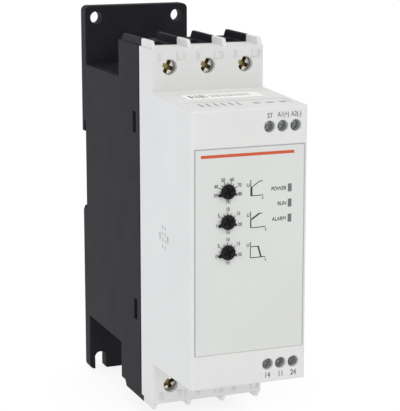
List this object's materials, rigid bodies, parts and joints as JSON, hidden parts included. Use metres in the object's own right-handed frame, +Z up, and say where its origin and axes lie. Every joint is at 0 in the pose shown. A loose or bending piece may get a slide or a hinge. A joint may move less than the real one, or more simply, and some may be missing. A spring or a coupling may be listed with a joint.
{
  "type": "soft starter",
  "caption": "Tall narrow motor soft starter for a mounting rail: black vented rear base, stepped light grey front cover, screw terminals at both ends, setting knobs and indicator windows.",
  "frame": {"origin": "middle of the seated 35 mm rail, on the rear mounting plane", "axes": "+X to the right seen from the front, +Y backwards into the rail, +Z up"},
  "size_m": [0.045, 0.1282, 0.156],
  "materials": {
    "black_moulding": "fine eroded texture",
    "grey_moulding": "fine eroded texture",
    "label_film": "satin film",
    "sticker_paper": "satin",
    "spring_wire": "bright drawn wire",
    "extruded_aluminium": "mill finish",
    "zinc_screw": "zinc plated",
    "module_resin": "moulded",
    "board_laminate": "solder mask",
    "relay_case": "moulded",
    "indicator_lens": "clear lens",
    "knob_plastic": "moulded",
    "trimmer_case": "moulded",
    "light_pipe": "diffusing",
    "contact_copper": "bright rolled",
    "passivated_screw": "yellow passivated",
    "plated_cage": "zinc plated",
    "terminal_plastic": "moulded",
    "grey_screw": "zinc plated"
  },
  "bodies": {
    "housing": {"rear_base": "black_moulding", "front_cover": "grey_moulding", "front_label": "label_film", "top_sticker": "sticker_paper", "rail_spring": "spring_wire", "heat_sink": "extruded_aluminium", "sink_screws": "zinc_screw", "thyristor_left": "module_resin", "thyristor_right": "module_resin", "power_board": "board_laminate", "relay_left": "relay_case", "relay_right": "relay_case", "riser_board": "board_laminate", "control_board": "board_laminate", "board_screws": "zinc_screw", "indicator_leds": "indicator_lens", "trimmer_1": "trimmer_case", "trimmer_2": "trimmer_case", "trimmer_3": "trimmer_case", "light_pipe_1": "light_pipe", "light_pipe_2": "light_pipe", "light_pipe_3": "light_pipe", "line_bar_1": "contact_copper", "line_bar_2": "contact_copper", "line_bar_3": "contact_copper", "load_bar_1": "contact_copper", "load_bar_2": "contact_copper", "load_bar_3": "contact_copper", "upper_terminal_block": "terminal_plastic", "upper_control_bars": "contact_copper", "lower_terminal_block": "terminal_plastic", "lower_control_bars": "contact_copper"},
    "knob_1_body": {"knob_1": "knob_plastic"},
    "knob_2_body": {"knob_2": "knob_plastic"},
    "knob_3_body": {"knob_3": "knob_plastic"},
    "line_screw_1_body": {"line_screw_1": "passivated_screw"},
    "line_cage_1_body": {"line_cage_1": "plated_cage"},
    "line_screw_2_body": {"line_screw_2": "passivated_screw"},
    "line_cage_2_body": {"line_cage_2": "plated_cage"},
    "line_screw_3_body": {"line_screw_3": "passivated_screw"},
    "line_cage_3_body": {"line_cage_3": "plated_cage"},
    "load_screw_1_body": {"load_screw_1": "passivated_screw"},
    "load_cage_1_body": {"load_cage_1": "plated_cage"},
    "load_screw_2_body": {"load_screw_2": "passivated_screw"},
    "load_cage_2_body": {"load_cage_2": "plated_cage"},
    "load_screw_3_body": {"load_screw_3": "passivated_screw"},
    "load_cage_3_body": {"load_cage_3": "plated_cage"},
    "upper_control_screw_1_body": {"upper_control_screw_1": "grey_screw"},
    "upper_control_cage_1_body": {"upper_control_cage_1": "plated_cage"},
    "upper_control_screw_2_body": {"upper_control_screw_2": "grey_screw"},
    "upper_control_cage_2_body": {"upper_control_cage_2": "plated_cage"},
    "upper_control_screw_3_body": {"upper_control_screw_3": "grey_screw"},
    "upper_control_cage_3_body": {"upper_control_cage_3": "plated_cage"},
    "lower_control_screw_1_body": {"lower_control_screw_1": "grey_screw"},
    "lower_control_cage_1_body": {"lower_control_cage_1": "plated_cage"},
    "lower_control_screw_2_body": {"lower_control_screw_2": "grey_screw"},
    "lower_control_cage_2_body": {"lower_control_cage_2": "plated_cage"},
    "lower_control_screw_3_body": {"lower_control_screw_3": "grey_screw"},
    "lower_control_cage_3_body": {"lower_control_cage_3": "plated_cage"}
  },
  "joints": [
    {"name": "knob_1_turn", "type": "hinge", "parent": "housing", "child": "knob_1_body", "pos_m": [-0.00858, -0.1272, 0.0112], "axis": [0, 1, 0], "range_deg": [0, 222]},
    {"name": "knob_2_turn", "type": "hinge", "parent": "housing", "child": "knob_2_body", "pos_m": [-0.00858, -0.1272, 0.00015], "axis": [0, 1, 0], "range_deg": [0, 222]},
    {"name": "knob_3_turn", "type": "hinge", "parent": "housing", "child": "knob_3_body", "pos_m": [-0.00858, -0.1272, -0.0109], "axis": [0, 1, 0], "range_deg": [0, 222]},
    {"name": "line_screw_1_turn", "type": "hinge", "parent": "housing", "child": "line_screw_1_body", "pos_m": [-0.0152, -0.0833, 0.051], "axis": [0, 1, 0], "range_deg": [0, 2880]},
    {"name": "line_cage_1_draw", "type": "slide", "parent": "housing", "child": "line_cage_1_body", "axis": [0, -1, 0], "range_m": [0, 0.0056]},
    {"name": "line_screw_2_turn", "type": "hinge", "parent": "housing", "child": "line_screw_2_body", "pos_m": [0, -0.0833, 0.051], "axis": [0, 1, 0], "range_deg": [0, 2880]},
    {"name": "line_cage_2_draw", "type": "slide", "parent": "housing", "child": "line_cage_2_body", "axis": [0, -1, 0], "range_m": [0, 0.0056]},
    {"name": "line_screw_3_turn", "type": "hinge", "parent": "housing", "child": "line_screw_3_body", "pos_m": [0.0152, -0.0833, 0.051], "axis": [0, 1, 0], "range_deg": [0, 2880]},
    {"name": "line_cage_3_draw", "type": "slide", "parent": "housing", "child": "line_cage_3_body", "axis": [0, -1, 0], "range_m": [0, 0.0056]},
    {"name": "load_screw_1_turn", "type": "hinge", "parent": "housing", "child": "load_screw_1_body", "pos_m": [-0.0152, -0.0833, -0.0718], "axis": [0, 1, 0], "range_deg": [0, 2880]},
    {"name": "load_cage_1_draw", "type": "slide", "parent": "housing", "child": "load_cage_1_body", "axis": [0, -1, 0], "range_m": [0, 0.0056]},
    {"name": "load_screw_2_turn", "type": "hinge", "parent": "housing", "child": "load_screw_2_body", "pos_m": [0, -0.0833, -0.0718], "axis": [0, 1, 0], "range_deg": [0, 2880]},
    {"name": "load_cage_2_draw", "type": "slide", "parent": "housing", "child": "load_cage_2_body", "axis": [0, -1, 0], "range_m": [0, 0.0056]},
    {"name": "load_screw_3_turn", "type": "hinge", "parent": "housing", "child": "load_screw_3_body", "pos_m": [0.0152, -0.0833, -0.0718], "axis": [0, 1, 0], "range_deg": [0, 2880]},
    {"name": "load_cage_3_draw", "type": "slide", "parent": "housing", "child": "load_cage_3_body", "axis": [0, -1, 0], "range_m": [0, 0.0056]},
    {"name": "upper_control_screw_1_turn", "type": "hinge", "parent": "housing", "child": "upper_control_screw_1_body", "pos_m": [0.0075, -0.1232, 0.0335], "axis": [0, 1, 0], "range_deg": [0, 1440]},
    {"name": "upper_control_cage_1_draw", "type": "slide", "parent": "housing", "child": "upper_control_cage_1_body", "axis": [0, -1, 0], "range_m": [0, 0.0018]},
    {"name": "upper_control_screw_2_turn", "type": "hinge", "parent": "housing", "child": "upper_control_screw_2_body", "pos_m": [0.01258, -0.1232, 0.0335], "axis": [0, 1, 0], "range_deg": [0, 1440]},
    {"name": "upper_control_cage_2_draw", "type": "slide", "parent": "housing", "child": "upper_control_cage_2_body", "axis": [0, -1, 0], "range_m": [0, 0.0018]},
    {"name": "upper_control_screw_3_turn", "type": "hinge", "parent": "housing", "child": "upper_control_screw_3_body", "pos_m": [0.01766, -0.1232, 0.0335], "axis": [0, 1, 0], "range_deg": [0, 1440]},
    {"name": "upper_control_cage_3_draw", "type": "slide", "parent": "housing", "child": "upper_control_cage_3_body", "axis": [0, -1, 0], "range_m": [0, 0.0018]},
    {"name": "lower_control_screw_1_turn", "type": "hinge", "parent": "housing", "child": "lower_control_screw_1_body", "pos_m": [0.0075, -0.1232, -0.0543], "axis": [0, 1, 0], "range_deg": [0, 1440]},
    {"name": "lower_control_cage_1_draw", "type": "slide", "parent": "housing", "child": "lower_control_cage_1_body", "axis": [0, -1, 0], "range_m": [0, 0.0018]},
    {"name": "lower_control_screw_2_turn", "type": "hinge", "parent": "housing", "child": "lower_control_screw_2_body", "pos_m": [0.01258, -0.1232, -0.0543], "axis": [0, 1, 0], "range_deg": [0, 1440]},
    {"name": "lower_control_cage_2_draw", "type": "slide", "parent": "housing", "child": "lower_control_cage_2_body", "axis": [0, -1, 0], "range_m": [0, 0.0018]},
    {"name": "lower_control_screw_3_turn", "type": "hinge", "parent": "housing", "child": "lower_control_screw_3_body", "pos_m": [0.01766, -0.1232, -0.0543], "axis": [0, 1, 0], "range_deg": [0, 1440]},
    {"name": "lower_control_cage_3_draw", "type": "slide", "parent": "housing", "child": "lower_control_cage_3_body", "axis": [0, -1, 0], "range_m": [0, 0.0018]}
  ],
  "couplings": [
    {"joint": "line_screw_1_turn", "follows": "line_cage_1_draw", "rad_per_m": 8975.9},
    {"joint": "line_screw_2_turn", "follows": "line_cage_2_draw", "rad_per_m": 8975.9},
    {"joint": "line_screw_3_turn", "follows": "line_cage_3_draw", "rad_per_m": 8975.9},
    {"joint": "load_screw_1_turn", "follows": "load_cage_1_draw", "rad_per_m": 8975.9},
    {"joint": "load_screw_2_turn", "follows": "load_cage_2_draw", "rad_per_m": 8975.9},
    {"joint": "load_screw_3_turn", "follows": "load_cage_3_draw", "rad_per_m": 8975.9},
    {"joint": "upper_control_screw_1_turn", "follows": "upper_control_cage_1_draw", "rad_per_m": 13963},
    {"joint": "upper_control_screw_2_turn", "follows": "upper_control_cage_2_draw", "rad_per_m": 13963},
    {"joint": "upper_control_screw_3_turn", "follows": "upper_control_cage_3_draw", "rad_per_m": 13963},
    {"joint": "lower_control_screw_1_turn", "follows": "lower_control_cage_1_draw", "rad_per_m": 13963},
    {"joint": "lower_control_screw_2_turn", "follows": "lower_control_cage_2_draw", "rad_per_m": 13963},
    {"joint": "lower_control_screw_3_turn", "follows": "lower_control_cage_3_draw", "rad_per_m": 13963}
  ]
}
